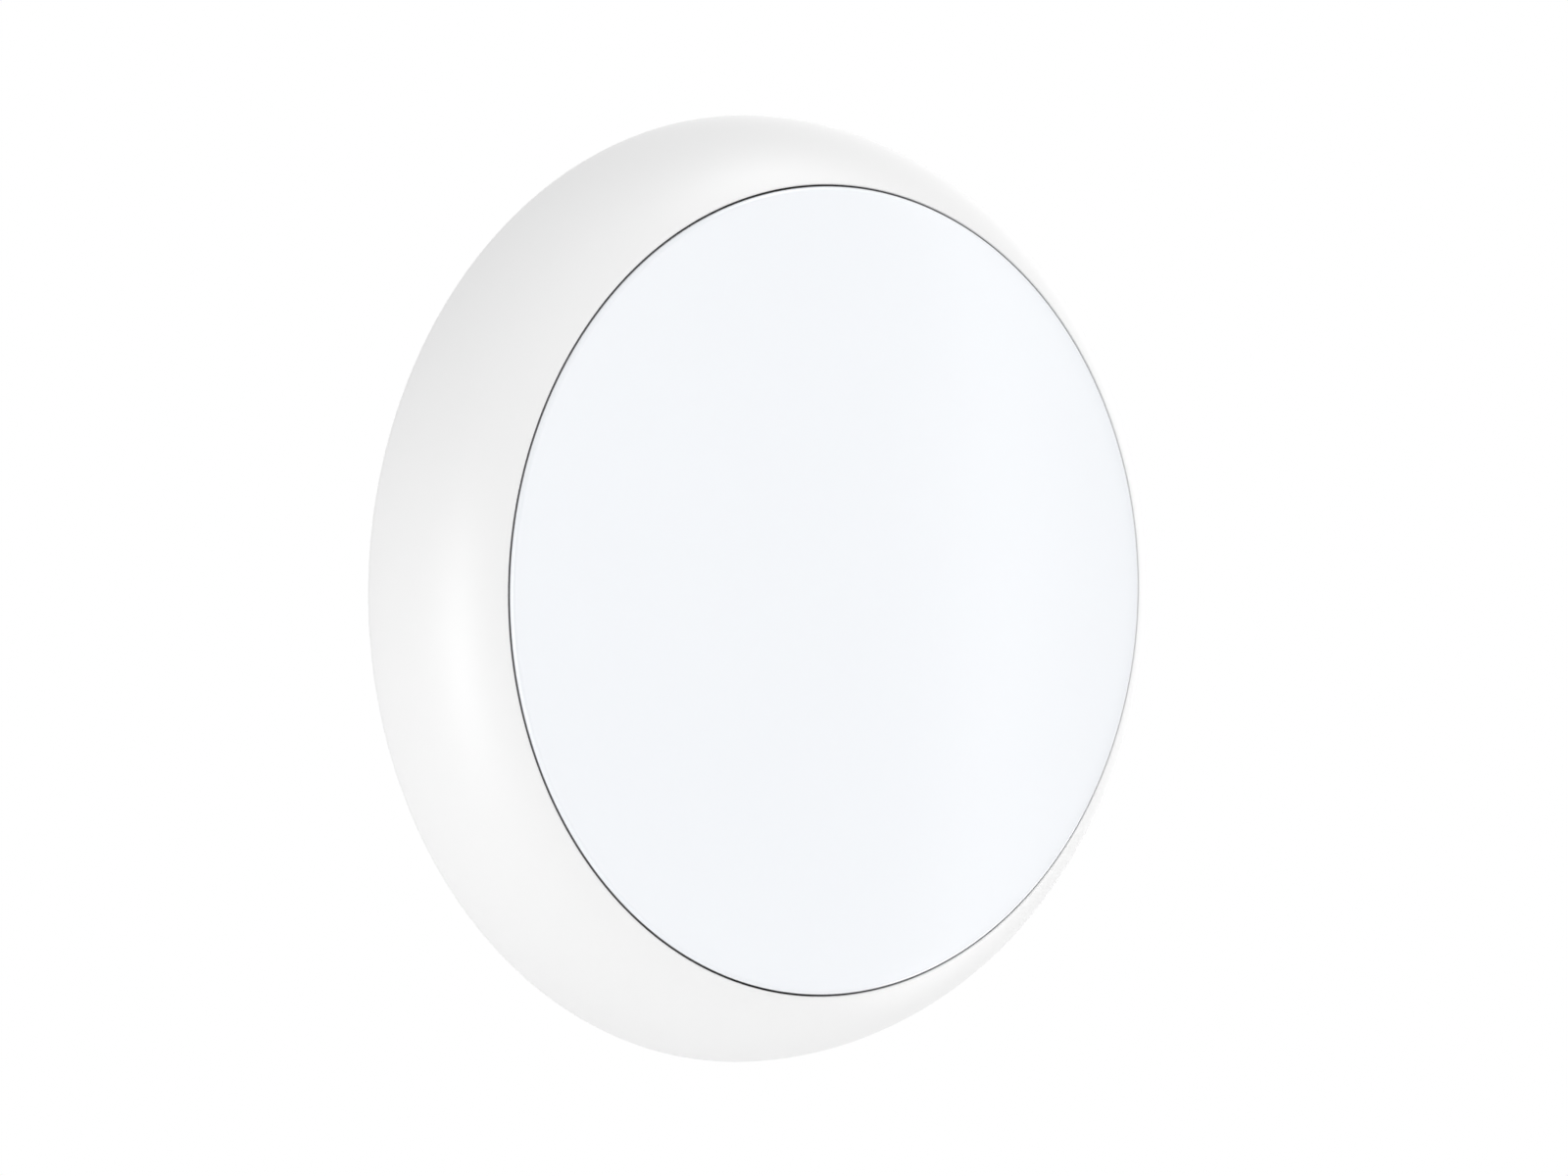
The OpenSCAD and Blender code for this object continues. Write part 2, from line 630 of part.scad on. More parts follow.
plug_w = (contacts - 1) * contact_pitch + 2.6;
plug_h = socket_h - 1.8;
plug_z = socket_top - 0.35;
pad_r = 1.6;
pad_angles = [15, 165, 195, 345];
inner_pad_angles = [90, 214, 326];
vent_angles = [66 : 8 : 114];
pilot_rest = 0.4;
port_z = floor_z + port_recess + 0.1;
port_foot = 1.2;

// Place of the charging port, beside the battery
module at_port(z) translate([main_board_r - port_edge, 0, z]) children();

// Flat cover that closes the head's back; its bosses reach through to the middle frame
module rear_cover() on_wall() color("whitesmoke") difference() {
    union() {
        translate([0, 0, floor_z]) cylinder(r = collar_r - fit, h = floor_t);
        translate([0, 0, floor_top - lap]) {
            at_angles(boss_angles, boss_circle_r) cylinder(r = boss_r, h = frame_z - floor_top + lap);
            at_angles(pad_angles, main_board_r - 6) cylinder(r = pad_r, h = main_pad_h + lap);
            at_angles(inner_pad_angles, main_board_r / 2) cylinder(r = pad_r, h = main_pad_h + lap);
        }
    }
    translate([0, 0, frame_z - screw_grip - pilot_rest])
        at_angles(boss_angles, boss_circle_r) cylinder(r = screw_r, h = screw_grip + 1);
    translate([0, socket_y, floor_z - 1]) block(plug_w + 2 * fit, plug_h + 2 * fit, floor_t + 2);
    translate([0, 0, floor_z - 1]) at_angles(vent_angles, ledge_r - vent_len / 2 - 2.5)
        rotate([0, 0, 90]) slot(vent_w, vent_len, floor_t + 2);
    at_port(floor_z - 1) {
        round_block(port_t + 2 * fit, port_w + 2 * fit, floor_t + 2, port_t / 3);
        round_block(2 * port_t, port_w + port_t, port_recess + 1, port_t / 2);
    }
}

module carrier_section() polygon([
    [collar_r, collar_z], [collar_r + collar_wall, collar_z], [collar_r + collar_wall, flange_z],
    [flange_r, flange_z], [flange_r, flange_z + flange_t], [shoulder_r, flange_z + flange_t],
    [shoulder_r, shoulder_z], [drum_r, shoulder_z], [drum_r, frame_z], [drum_bore_r, frame_z],
    [drum_bore_r, main_board_z], [ledge_r, main_board_z], [ledge_r, floor_top], [collar_r, floor_top]]);

// Drum that the ring turns on, with the flange behind the ring and the collar that slips over the base
module ring_carrier() on_wall() color("whitesmoke") difference() {
    rotate_extrude($fn = fine) carrier_section();
    at_angles(boss_angles, boss_circle_r) translate([0, 0, floor_top - 1]) {
        cylinder(r = boss_r + fit, h = main_pad_h + 2);
        translate([-boss_r, 0, 0]) block(2 * boss_r, 2 * (boss_r + fit), main_pad_h + 2);
    }
    pinion_axis() translate([0, 0, pinion_z - 0.25])
        cylinder(r = pinion_tip_r + 0.5, h = frame_z - pinion_z + 1);
}

module head_plug() on_wall() color("#303236") translate([0, socket_y, 0]) difference() {
    translate([0, 0, plug_z]) block(plug_w, plug_h, main_board_z - plug_z);
    at_contacts() translate([0, 0, plug_z - 1]) block(pin_w, pin_w, main_board_z);
}

module plug_pins() on_wall() color("gold") translate([0, socket_y, base_board_top + 0.9])
    at_contacts() block(pin_w, pin_w, main_board_z - base_board_top - 0.9);

// Round notch at the edge of a board, open outwards
module edge_notch(r) {
    cylinder(r = r, h = board_t + 2);
    translate([r, 0, 0]) block(2 * r, 2 * r, board_t + 2);
}

module main_circuit_board() on_wall() color("darkgreen") translate([0, 0, main_board_z]) difference() {
    cylinder(r = main_board_r, h = board_t);
    translate([0, 0, -1]) at_angles(boss_angles, boss_circle_r) edge_notch(boss_r + fit);
    translate([0, 0, -1]) at_angles(post_angles, post_circle_r) edge_notch(clip_r + 0.5);
    at_port(-1) round_block(port_t + 2 * fit, port_w + 2 * fit, board_t + 2, port_t / 3);
}

battery_h = 2 * (main_board_r - battery_room);

module on_main_board() on_wall() translate([0, 0, main_board_top]) children();

// Place beside the battery: above it for side 1, below it for side -1, for a part of height l on the wall
module beside_battery(x, side, l) translate([x, side * (battery_h / 2 + part_gap + l / 2), 0]) children();

// Row above the battery, with the connector in the middle and its ends beside the upper bosses
connector_l = 3.6;
connector_y = battery_h / 2 + 6.5;
row_end = boss_circle_r * cos(boss_angles[0]) - boss_r - part_gap;
shield_wall = 0.3;

module radio_shield() on_main_board() color("silver")
    beside_battery(shield_w / 2 - row_end, 1, shield_h) difference() {
        block(shield_w, shield_h, shield_t);
        translate([0, 0, -1])
            block(shield_w - 2 * shield_wall, shield_h - 2 * shield_wall, shield_t - shield_wall + 1);
        for (x = [-3 : 2 : 3], y = [-2, 0, 2]) translate([x, y, 0]) cylinder(r = 0.35, h = shield_t + 1);
    }

module buzzer() on_main_board() color("#1d1e20")
    beside_battery(row_end - buzzer_r, 1, 2 * buzzer_r) difference() {
        cylinder(r = buzzer_r, h = buzzer_t);
        translate([0, 0, buzzer_t - 0.8]) cylinder(r = buzzer_r / 5, h = 2);
    }

module main_board_chips() on_main_board() color("#26282b") {
    beside_battery(-(battery_w / 2 - processor_w / 2 - 0.4), -1, processor_w)
        block(processor_w, processor_w, 0.9);
    beside_battery(battery_w / 2 - coil_w / 2, -1, coil_w) block(coil_w, coil_w, coil_t);
    for (side = [-1, 1]) translate([side * (battery_w / 2 + part_gap + chip_w / 2), battery_h / 4, 0])
        block(chip_w, chip_len, chip_h);
    translate([battery_w / 2 + part_gap + chip_w / 2, -battery_h / 4, 0]) block(chip_w, chip_w / 2, chip_h);
}

sensor_angle = 246;
sensor_l = 2;
module temperature_sensor() on_main_board() color("white")
    rotate([0, 0, sensor_angle]) translate([main_board_r - sensor_edge, 0, 0])
        block(sensor_l, 1.5 * sensor_l, sensor_l / 2);

// Shell of the charging port, let into the board and held by two feet on the board's front
module charging_port() on_wall() color("silver") {
    at_port(port_z) difference() {
        round_block(port_t, port_w, port_len, port_t / 3);
        translate([0, 0, -1])
            round_block(port_t - 2 * port_wall, port_w - 2 * port_wall, port_len - port_wall + 1, port_t / 4);
    }
    for (y = [-1, 1]) at_port(main_board_top) translate([0, y * (port_w + port_foot - lap) / 2, 0])
        block(port_t / 2, port_foot, port_wall);
}

module port_tongue() on_wall() color("#1d1e20") at_port(port_z + 0.8)
    block(port_t / 4, port_w / 2, port_len - port_wall - 0.8);

module battery() on_main_board() color("lightslategray") round_block(battery_w, battery_h, battery_t, 1);

module board_connector() on_main_board() color("ivory") translate([0, connector_y, 0]) {
    block(connector_w, connector_l, 2.6);
    block(connector_w - 1.4, connector_l - 1.2, frame_top - main_board_top);
}

module encoder_case() on_main_board() color("#44484c") pinion_axis() difference() {
    round_block(encoder_w, encoder_w, encoder_t, 0.6);
    translate([0, 0, 0.3]) cylinder(r = encoder_shaft_r + shaft_fit, h = encoder_t);
}

web_holes = [0 : 60 : 300];
web_hole_r = 1.2;
module encoder_gear() on_wall() color("ivory") pinion_axis() {
    translate([0, 0, main_board_top + 0.4])
        cylinder(r = encoder_shaft_r, h = frame_top - main_board_top - 0.7);
    translate([0, 0, pinion_z]) linear_extrude(pinion_t) difference() {
        pinion_outline();
        at_angles(web_holes, (encoder_shaft_r + pinion_root_r) / 2 + lap) circle(r = web_hole_r);
    }
}

window_angles = [-60, 0, 60, 120, 180];
window_w = 8;
window_l = 6;
module middle_frame() on_wall() color("whitesmoke") difference() {
    union() {
        translate([0, 0, frame_z]) cylinder(r = frame_r, h = frame_t);
        translate([0, 0, frame_z]) at_angles(post_angles, post_circle_r)
            cylinder(r = sleeve_r, h = 2 * frame_t);
    }
    translate([0, 0, frame_z - 1]) {
        at_angles(post_angles, post_circle_r) cylinder(r = post_r + post_fit, h = frame_t + 4);
        at_angles(boss_angles, boss_circle_r) cylinder(r = screw_r + fit, h = frame_t + 2);
        at_angles(display_screw_angles, display_screw_circle_r) cylinder(r = screw_r, h = frame_t + 2);
        translate([0, connector_y, 0]) block(connector_w + 1, connector_l + 1.4, frame_t + 2);
        pinion_axis() cylinder(r = encoder_shaft_r + shaft_fit, h = frame_t + 2);
        at_angles(window_angles, display_board_r / 2 - 0.8) block(window_w, window_l, frame_t + 2);
    }
}

module frame_screws() on_wall() color("silver") translate([0, 0, frame_top])
    at_angles(boss_angles, boss_circle_r) pan_screw(screw_r, frame_t + screw_grip, 2 * screw_r, 1);

module display_board() on_wall() color("darkgreen") translate([0, 0, frame_top]) difference() {
    cylinder(r = display_board_r, h = board_t);
    translate([0, 0, -1]) at_angles(display_screw_angles, display_screw_circle_r)
        cylinder(r = screw_r + fit, h = board_t + 2);
}

module display_screws() on_wall() color("silver") translate([0, 0, display_board_top])
    at_angles(display_screw_angles, display_screw_circle_r)
        pan_screw(screw_r, board_t + frame_t, 1.8 * screw_r, 0.8);

lamp_cols = 7;
lamp_rows = 3;
lamp_w = 1.6;
module at_lamps() for (i = [0 : lamp_cols - 1], j = [0 : lamp_rows - 1]) translate([
    (i - (lamp_cols - 1) / 2) * module_w / lamp_cols, (j - (lamp_rows - 1) / 2) * module_h / lamp_rows, 0])
    children();

module light_module() on_wall() color("#202224") translate([0, 0, display_board_top]) {
    block(module_w, module_h, module_t - 0.3);
    at_lamps() block(lamp_w, lamp_w, module_t);
}

module light_mask() on_wall() color("white") translate([0, 0, display_board_top]) difference() {
    block(module_w + 2 * (mask_wall + fit), module_h + 2 * (mask_wall + fit), mask_h);
    translate([0, 0, -1]) block(module_w + 2 * fit, module_h + 2 * fit, module_t + 1 + lap);
    at_lamps() block(module_w / lamp_cols - 1, module_h / lamp_rows - 1, mask_h + 1);
}

module press_switches() on_wall() color("#3a3d40") translate([0, 0, display_board_top])
    at_angles(switch_angles, switch_circle_r) difference() {
        round_block(switch_w, switch_w, switch_h, 0.5);
        translate([0, 0, lap]) cylinder(r = plunger_r + post_fit, h = switch_h);
    }

module switch_plungers() on_wall() color("sienna") at_angles(switch_angles, switch_circle_r)
    translate([0, 0, plunger_z]) cylinder(r = plunger_r, h = plunger_top - plunger_z);

// ---- Control ring ----

side_centre = [ring_r - side_radius * sin(side_angle), rim_z - side_radius * cos(side_angle)];
shoulder_centre = side_centre + (side_radius - shoulder_radius) * [sin(blend_angle), cos(blend_angle)];
blend_lap = 0.05;

// Wedge with its corner at p, between two angles from the axis
module wedge(p, from, to, reach) polygon(concat(
    [p], [for (a = [from, (from + to) / 2, to]) p + reach * [sin(a), cos(a)]]));

// Area under the ring's outside, t below its surface; the two arcs' wedges lap a little where they meet
module crown(t) {
    intersection() {
        translate(side_centre) circle(r = side_radius - t);
        wedge(side_centre, blend_angle - blend_lap, side_angle, ring_d);
    }
    intersection() {
        translate(shoulder_centre) circle(r = shoulder_radius - t);
        wedge(shoulder_centre, face_angle / 2, blend_angle, ring_d);
    }
}

// Hollow between the shoulder and the lip, in front of the ring gear
module ring_hollow() difference() {
    crown(ring_wall);
    translate([0, seam_z - lip_depth]) square([lip_r + lip_wall, crown_h]);
    square([ring_d, ring_gear_top]);
}

// Ribs that stand between the shoulder's inside and the lip
module shoulder_ribs_solid() intersection() {
    rotate_extrude($fn = fine) intersection() {
        crown(ring_wall / 2);
        translate([lip_r + lip_wall / 2, ring_gear_top + rib_rise]) square([crown_w, crown_h]);
    }
    at_angles([for (i = [1 : shoulder_ribs]) i * 360 / shoulder_ribs], lip_r)
        translate([crown_w / 2, 0, ring_gear_top]) block(crown_w, rib_wall, crown_h);
}

module control_ring() on_wall() color("white") {
    rotate_extrude($fn = fine) difference() {
        union() {
            crown(0);
            translate(rim_centre) circle(r = rim_round);
            translate([ring_bore_r, ring_back_z]) square([rim_centre[0] - ring_bore_r, rim_round]);
        }
        square([ring_bore_r, ring_gear_top]);
        square([lip_r, seam_z + crown_h]);
        ring_hollow();
    }
    shoulder_ribs_solid();
}

module ring_gear() on_wall() color("ivory") translate([0, 0, ring_gear_z])
    linear_extrude(ring_gear_t) difference() {
        circle(r = ring_bore_r - 0.05, $fn = fine);
        ring_gear_hole();
    }

// ---- Front cover ----

// Section of the cover: a shallow dome that runs into the rounded edge
dome_r = (cover_r * cover_r + face_dome * face_dome) / 2 / face_dome;
dome_z = cover_rim_z + face_dome - dome_r;
edge_angle = asin((cover_r - cover_edge) / (dome_r - cover_edge));
edge_z = dome_z + (dome_r - cover_edge) * cos(edge_angle);
dome_steps = 12;

module dome_section() polygon(concat(
    [[0, cover_z]],
    [for (a = radii(0, edge_angle, dome_steps)) [dome_r * sin(a), dome_z + dome_r * cos(a)]],
    [[cover_r - cover_edge, edge_z], [cover_r - cover_edge, cover_z]]));

module edge_section() {
    translate([cover_r - cover_edge, edge_z]) circle(r = cover_edge);
    translate([cover_r - skirt_wall, cover_z - cover_skirt])
        square([skirt_wall, edge_z - cover_z + cover_skirt]);
}

clip_groove = 0.35;
module front_cover() on_wall() color("white") difference() {
    union() {
        rotate_extrude($fn = fine) dome_section();
        rotate_extrude($fn = fine) edge_section();
        at_angles(post_angles, post_circle_r) translate([0, 0, post_foot_z])
            cylinder(r = post_r, h = cover_z - post_foot_z + lap);
        at_angles(switch_angles, switch_circle_r) translate([0, 0, plunger_top + 0.05])
            cylinder(r = plunger_r + 0.6, h = cover_z - plunger_top);
    }
    at_angles(post_angles, post_circle_r) translate([0, 0, clip_z])
        tube(post_r + 1, post_r - clip_groove, clip_t);
}

// Open clips that hold the posts from behind the middle frame
module post_clips() on_wall() color("dimgray") at_angles(post_angles, post_circle_r)
    translate([0, 0, clip_z]) difference() {
        tube(clip_r, post_r - clip_groove, clip_t);
        rotate([0, 0, 180]) translate([clip_r / 2 + 0.2, 0, -1]) block(clip_r + 0.4, post_r, clip_t + 2);
    }

wall_plate();
base_circuit_board();
terminal_block_left();
terminal_block_right();
terminal_clamps();
wire_tab_1();
wire_tab_2();
wire_tab_3();
wire_tab_4();
wire_tab_5();
wire_tab_6();
relay_chips();
base_socket();
socket_contacts();
level_vial();
vial_caps();
vial_liquid();
base_cover();
base_cover_screws();
rear_cover();
ring_carrier();
head_plug();
plug_pins();
main_circuit_board();
radio_shield();
main_board_chips();
buzzer();
temperature_sensor();
charging_port();
port_tongue();
battery();
board_connector();
encoder_case();
encoder_gear();
middle_frame();
frame_screws();
display_board();
display_screws();
light_module();
light_mask();
press_switches();
switch_plungers();
control_ring();
ring_gear();
front_cover();
post_clips();
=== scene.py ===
import bpy
import json
import math
from mathutils import Matrix, Vector


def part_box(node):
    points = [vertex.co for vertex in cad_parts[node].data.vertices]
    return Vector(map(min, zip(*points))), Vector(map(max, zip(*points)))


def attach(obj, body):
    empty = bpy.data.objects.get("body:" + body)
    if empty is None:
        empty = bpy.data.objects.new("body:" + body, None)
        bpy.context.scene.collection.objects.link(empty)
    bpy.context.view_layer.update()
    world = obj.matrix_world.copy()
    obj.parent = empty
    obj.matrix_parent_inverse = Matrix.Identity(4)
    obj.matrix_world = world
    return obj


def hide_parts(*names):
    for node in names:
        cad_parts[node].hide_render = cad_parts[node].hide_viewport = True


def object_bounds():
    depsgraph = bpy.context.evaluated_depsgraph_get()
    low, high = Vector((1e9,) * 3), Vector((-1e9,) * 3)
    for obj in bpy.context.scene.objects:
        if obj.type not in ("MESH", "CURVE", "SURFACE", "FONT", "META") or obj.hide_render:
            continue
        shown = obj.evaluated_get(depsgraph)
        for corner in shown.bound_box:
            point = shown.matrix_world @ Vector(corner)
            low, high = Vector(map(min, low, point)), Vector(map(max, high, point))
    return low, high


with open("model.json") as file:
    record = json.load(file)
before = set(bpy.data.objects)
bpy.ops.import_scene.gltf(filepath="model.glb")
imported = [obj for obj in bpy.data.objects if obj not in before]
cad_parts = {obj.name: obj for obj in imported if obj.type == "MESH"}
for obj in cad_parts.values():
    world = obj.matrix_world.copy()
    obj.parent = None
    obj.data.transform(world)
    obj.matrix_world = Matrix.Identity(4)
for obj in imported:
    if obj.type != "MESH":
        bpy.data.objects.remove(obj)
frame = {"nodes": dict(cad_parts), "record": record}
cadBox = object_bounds()
nodes = frame["nodes"]
mm = 0.001
mergeDistance = 0.002 * mm  # points of a turned section nearer than this become one


# Small tools for edit mode

def freshStart():
    if bpy.context.mode != "OBJECT":
        bpy.ops.object.mode_set(mode="OBJECT")
    bpy.ops.object.select_all(action="DESELECT")


def activate(piece):
    freshStart()
    piece.select_set(True)
    bpy.context.view_layer.objects.active = piece


def selectAll():
    bpy.ops.mesh.select_all(action="SELECT")


def editAll(piece):
    activate(piece)
    bpy.ops.object.mode_set(mode="EDIT")
    bpy.ops.mesh.select_mode(type="VERT")
    selectAll()


def leaveEdit():
    bpy.ops.object.mode_set(mode="OBJECT")


def settle(piece):  # the place goes into the mesh
    activate(piece)
    bpy.ops.object.transform_apply(location=True, rotation=True, scale=True)
    return piece


def applyModifier(piece, kind, **settings):
    activate(piece)
    modifier = piece.modifiers.new(kind.lower(), kind)
    for key, value in settings.items():
        setattr(modifier, key, value)
    bpy.ops.object.modifier_apply(modifier=modifier.name)


def smooth(piece, degrees):
    activate(piece)
    bpy.ops.object.shade_smooth_by_angle(angle=math.radians(degrees))


def give(piece, name, finish, body, replaced):
    piece.name = name
    piece.data.name = name
    piece.data.materials.clear()
    piece.data.materials.append(finish)
    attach(piece, body)
    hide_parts(replaced)
    return piece


# Turned profiles: a point is walked round a section in the plane z = 0, then spun about the Y axis.
# A place in the section is (radius, depth), with the depth counted from the wall towards the room.

def sectionPoint(radius, depth):
    return Vector((radius, -depth, 0))


def startSection(name, radius, depth):
    freshStart()
    bpy.ops.mesh.primitive_plane_add(size=mm, location=(0, 0, 0))
    piece = bpy.context.active_object
    piece.name = name
    bpy.ops.object.mode_set(mode="EDIT")
    selectAll()
    bpy.ops.mesh.merge(type="CENTER")
    bpy.ops.transform.translate(value=sectionPoint(radius, depth))
    return {"piece": piece, "at": sectionPoint(radius, depth)}


def lineTo(section, radius, depth, steps=1):
    goal = sectionPoint(radius, depth)
    step = (goal - section["at"]) / steps
    for _ in range(steps):
        bpy.ops.mesh.extrude_region_move(TRANSFORM_OT_translate={"value": step})
    section["at"] = goal


def arcTo(section, centre, degrees, steps):
    middle = sectionPoint(*centre)
    turn = math.radians(degrees)
    bpy.ops.mesh.spin(steps=steps, angle=-turn, center=middle, axis=(0, 0, 1), dupli=False)
    section["at"] = middle + Matrix.Rotation(turn, 3, "Z") @ (section["at"] - middle)


def turnSection(section, rounds, closed=True):
    piece = section["piece"]
    selectAll()
    bpy.ops.mesh.remove_doubles(threshold=mergeDistance)
    if closed:
        closeLoop(piece)
        selectAll()
        bpy.ops.mesh.delete(type="ONLY_FACE")  # closing also fills the section
    selectAll()
    bpy.ops.mesh.spin(steps=rounds, angle=2 * math.pi, center=(0, 0, 0), axis=(0, 1, 0), dupli=False)
    selectAll()
    bpy.ops.mesh.remove_doubles(threshold=mergeDistance)
    bpy.ops.mesh.normals_make_consistent(inside=False)
    leaveEdit()
    return piece


def closeLoop(piece):  # joins the two loose ends of the section
    leaveEdit()
    uses = {}
    for edge in piece.data.edges:
        for v in edge.vertices:
            uses[v] = uses.get(v, 0) + 1
    for v in piece.data.vertices:
        v.select = uses.get(v.index, 0) == 1
    bpy.ops.object.mode_set(mode="EDIT")
    bpy.ops.mesh.edge_face_add()


# Shader tools

class Sum:  # a socket that takes part in Python arithmetic
    def __init__(self, owner, socket):
        self.owner = owner
        self.socket = socket

    def maths(self, operation, first, second):
        made = self.owner.node("ShaderNodeMath", {"operation": operation}, {0: first, 1: second})
        return Sum(self.owner, made.outputs[0])

    def __add__(self, other): return self.maths("ADD", self, other)
    def __radd__(self, other): return self.maths("ADD", other, self)
    def __mul__(self, other): return self.maths("MULTIPLY", self, other)
    def __rmul__(self, other): return self.maths("MULTIPLY", other, self)
    def __pow__(self, other): return self.maths("POWER", self, other)


class NodeTree:  # of a finish or of the world
    def __init__(self, tree):
        self.tree = tree
        tree.nodes.clear()

    def node(self, kind, settings=None, sockets=None):
        made = self.tree.nodes.new(kind)
        for key, value in (settings or {}).items():
            setattr(made, key, value)
        for key, value in (sockets or {}).items():
            self.feed(made.inputs[key], value)
        return made

    def feed(self, socket, value):
        if isinstance(value, Sum):
            value = value.socket
        if isinstance(value, bpy.types.NodeSocket):
            self.tree.links.new(value, socket)
        elif hasattr(value, "__len__") and socket.type == "RGBA":
            socket.default_value = (*value, 1)
        else:
            socket.default_value = value


class Finish(NodeTree):
    def __init__(self, name):
        self.material = bpy.data.materials.new(name)
        self.material.use_nodes = True
        super().__init__(self.material.node_tree)
        self.shader = self.node("ShaderNodeBsdfPrincipled")
        self.output = self.node("ShaderNodeOutputMaterial", None, {"Surface": self.shader.outputs[0]})
        self.place = self.node("ShaderNodeTexCoord").outputs["Object"]

    def set(self, **values):  # principled sockets by name, with spaces written as underscores
        for key, value in values.items():
            self.feed(self.shader.inputs[key.replace("_", " ")], value)

    def noise(self, size, detail, roughness=0.5, stretch=None):
        place = self.place
        if stretch:
            place = self.node("ShaderNodeMapping", None, {"Vector": place, "Scale": stretch}).outputs[0]
        made = self.node("ShaderNodeTexNoise", None,
                         {"Vector": place, "Scale": 1 / size, "Detail": detail, "Roughness": roughness})
        return Sum(self, made.outputs["Fac"])

    def axes(self):
        return [Sum(self, axis) for axis in self.node("ShaderNodeSeparateXYZ", None, {0: self.place}).outputs]

    def mix(self, factor, first, second):
        made = self.node("ShaderNodeMix", {"data_type": "RGBA"}, {"Factor": factor})
        colours = [socket for socket in made.inputs if socket.type == "RGBA"]
        self.feed(colours[0], first)
        self.feed(colours[1], second)
        return [socket for socket in made.outputs if socket.type == "RGBA"][0]

    def bump(self, height, strength, distance):
        made = self.node("ShaderNodeBump", None,
                         {"Height": height, "Strength": strength, "Distance": distance})
        self.set(Normal=made.outputs[0])


def shade(colour, factor):
    return tuple(min(1, c * factor) for c in colour)


# Mask of the painted shade in the seam's groove, on the face's side wall below the ring's lip
def grooveShadeMask(finish, s):  # 1 outside a radius and behind a depth, both in the CAD frame
    x, y, z = finish.axes()
    behind = finish.node("ShaderNodeMapRange", None,
                         {"Value": y, "From Min": -s["depth"], "From Max": s["blend"] - s["depth"]})
    outside = x.maths("GREATER_THAN", x * x + z * z, s["radius"] ** 2)
    return Sum(finish, behind.outputs[0]) * outside


# Moulded plastic: a slow drift of tone, a patchy polish and the fine grain of the mould
moulded = {"toneSize": 14 * mm, "toneDetail": 3, "grainDetail": 3, "grainRoughness": 0.6, "grainStrength": 0.35,
           "polish": 0.06, "specular": 0.5}


def plastic(name, colour, roughness, grain, grainDepth, drift=0.015, coat=0.0, coatRoughness=0.2,
            paintedGrooveShade=None):
    finish = Finish(name)
    tone = finish.noise(moulded["toneSize"], moulded["toneDetail"])
    fine = finish.noise(grain, moulded["grainDetail"], moulded["grainRoughness"])
    painted = finish.mix(tone, shade(colour, 1 - drift), shade(colour, 1 + drift))
    # painted shade: where the mask is 1, the colour is mixed towards a dark grey
    if paintedGrooveShade:
        painted = finish.mix(grooveShadeMask(finish, paintedGrooveShade), painted, paintedGrooveShade["colour"])
    finish.set(Base_Color=painted, Roughness=tone * moulded["polish"] + (roughness - moulded["polish"] / 2),
               Specular_IOR_Level=moulded["specular"], Coat_Weight=coat, Coat_Roughness=coatRoughness)
    finish.bump(fine, moulded["grainStrength"], grainDepth)
    return finish.material


# Metal: a drift of tone and fine marks, which brush makes that many times finer along X, Y and Z
brushed = {"toneSize": 3 * mm, "toneDetail": 3, "drift": 0.06, "markSize": 0.25 * mm, "markDetail": 2,
           "markRoughness": 0.16, "markStrength": 0.25, "markDepth": 0.006 * mm}


def metal(name, colour, roughness, brush=(1, 1, 1)):
    finish = Finish(name)
    tone = finish.noise(brushed["toneSize"], brushed["toneDetail"])
    fine = finish.noise(brushed["markSize"], brushed["markDetail"], stretch=brush)
    painted = finish.mix(tone, shade(colour, 1 - brushed["drift"]), shade(colour, 1 + brushed["drift"]))
    finish.set(Base_Color=painted, Metallic=1.0,
               Roughness=fine * brushed["markRoughness"] + (roughness - brushed["markRoughness"] / 2))
    finish.bump(fine, brushed["markStrength"], brushed["markDepth"])
    return finish.material


# Circuit board: solder mask with faint copper tracks under it
board = {"dark": (0.010, 0.105, 0.045), "light": (0.016, 0.140, 0.060), "overTracks": (0.045, 0.24, 0.10),
         "toneSize": 9 * mm, "toneDetail": 2, "roughness": 0.24, "polish": 0.1,
         "trackDepth": 0.03 * mm, "trackStrength": 0.4,
         "trackRows": {"offset": 0.5, "offset_frequency": 3},
         "trackLayout": {"Scale": 1 / (6 * mm), "Mortar Size": 0.035, "Mortar Smooth": 0.1, "Brick Width": 0.8,
                         "Row Height": 0.28}}


def circuitBoard(name):
    finish = Finish(name)
    tracks = finish.node("ShaderNodeTexBrick", board["trackRows"],
                         {"Vector": finish.place, **board["trackLayout"]}).outputs["Fac"]
    tone = finish.noise(board["toneSize"], board["toneDetail"])
    mask = finish.mix(tone, board["dark"], board["light"])
    finish.set(Base_Color=finish.mix(tracks, mask, board["overTracks"]),
               Roughness=tone * board["polish"] + board["roughness"])
    finish.bump(Sum(finish, tracks), board["trackStrength"], board["trackDepth"])
    return finish.material


# The level vial: its tube and the liquid in it
tube = {"dark": (0.90, 0.95, 0.94), "light": (0.95, 0.98, 0.97), "toneSize": 2 * mm, "toneDetail": 2,
        "roughness": 0.03, "polish": 0.04, "clearness": 0.95, "bending": 1.49, "waveStrength": 0.1,
        "waveDepth": 0.01 * mm}
liquid = {"dark": (0.42, 0.72, 0.04), "light": (0.52, 0.82, 0.07), "toneSize": 4 * mm, "toneDetail": 2,
          "roughness": 0.04, "polish": 0.05, "clearness": 0.6, "bending": 1.36}


def clear(name, look):
    finish = Finish(name)
    tone = finish.noise(look["toneSize"], look["toneDetail"])
    finish.set(Base_Color=finish.mix(tone, look["dark"], look["light"]),
               Roughness=tone * look["polish"] + look["roughness"],
               Transmission_Weight=look["clearness"], IOR=look["bending"])
    if "waveStrength" in look:
        finish.bump(tone, look["waveStrength"], look["waveDepth"])
    return finish.material


bezel = {"colour": (0.865, 0.865, 0.865), "roughness": 0.42, "grain": 0.16 * mm, "grainDepth": 0.006 * mm,
         "drift": 0.006}
